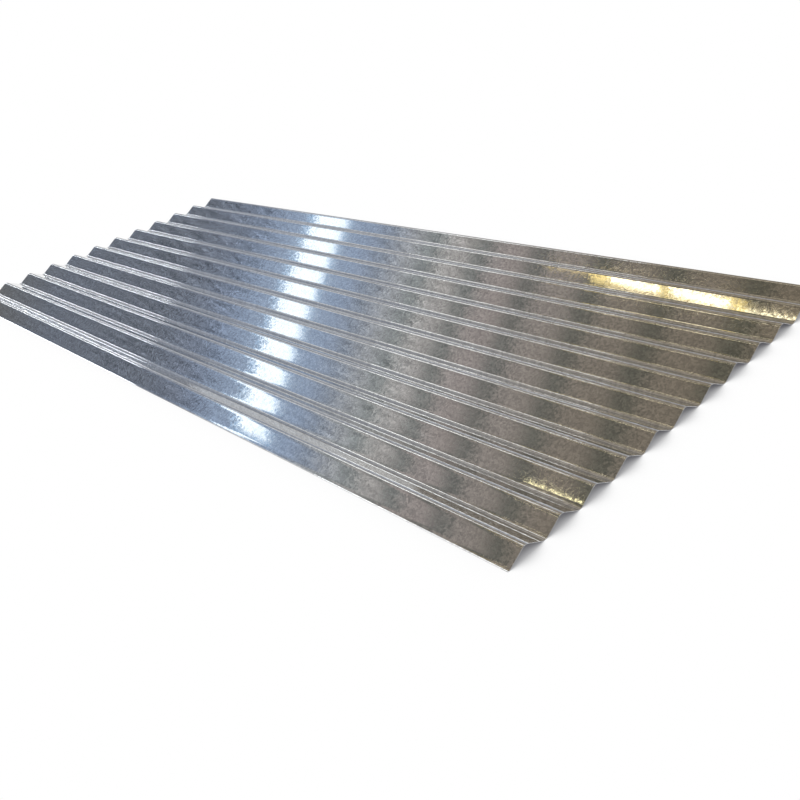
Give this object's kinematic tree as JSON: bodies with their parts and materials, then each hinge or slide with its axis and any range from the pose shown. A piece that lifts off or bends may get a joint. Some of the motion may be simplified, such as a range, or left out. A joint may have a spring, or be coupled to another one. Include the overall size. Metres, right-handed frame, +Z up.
{
  "type": "corrugated metal sheet",
  "caption": "Roll-formed galvanised steel roofing sheet with rounded waves along its length, a long edge turned down and the opposite edge up for lapping.",
  "frame": {"origin": "on the floor, below the middle of the sheet", "axes": "+X along the waves, +Y across them towards the edge that ends up, +Z up"},
  "size_m": [2.134, 0.8762, 0.0185],
  "materials": {
    "galvanised_steel": "hot-dip galvanised zinc, smooth and half glossy with a fine mottled spangle"
  },
  "bodies": {
    "root": {"corrugated_sheet": "galvanised_steel"}
  },
  "joints": []
}
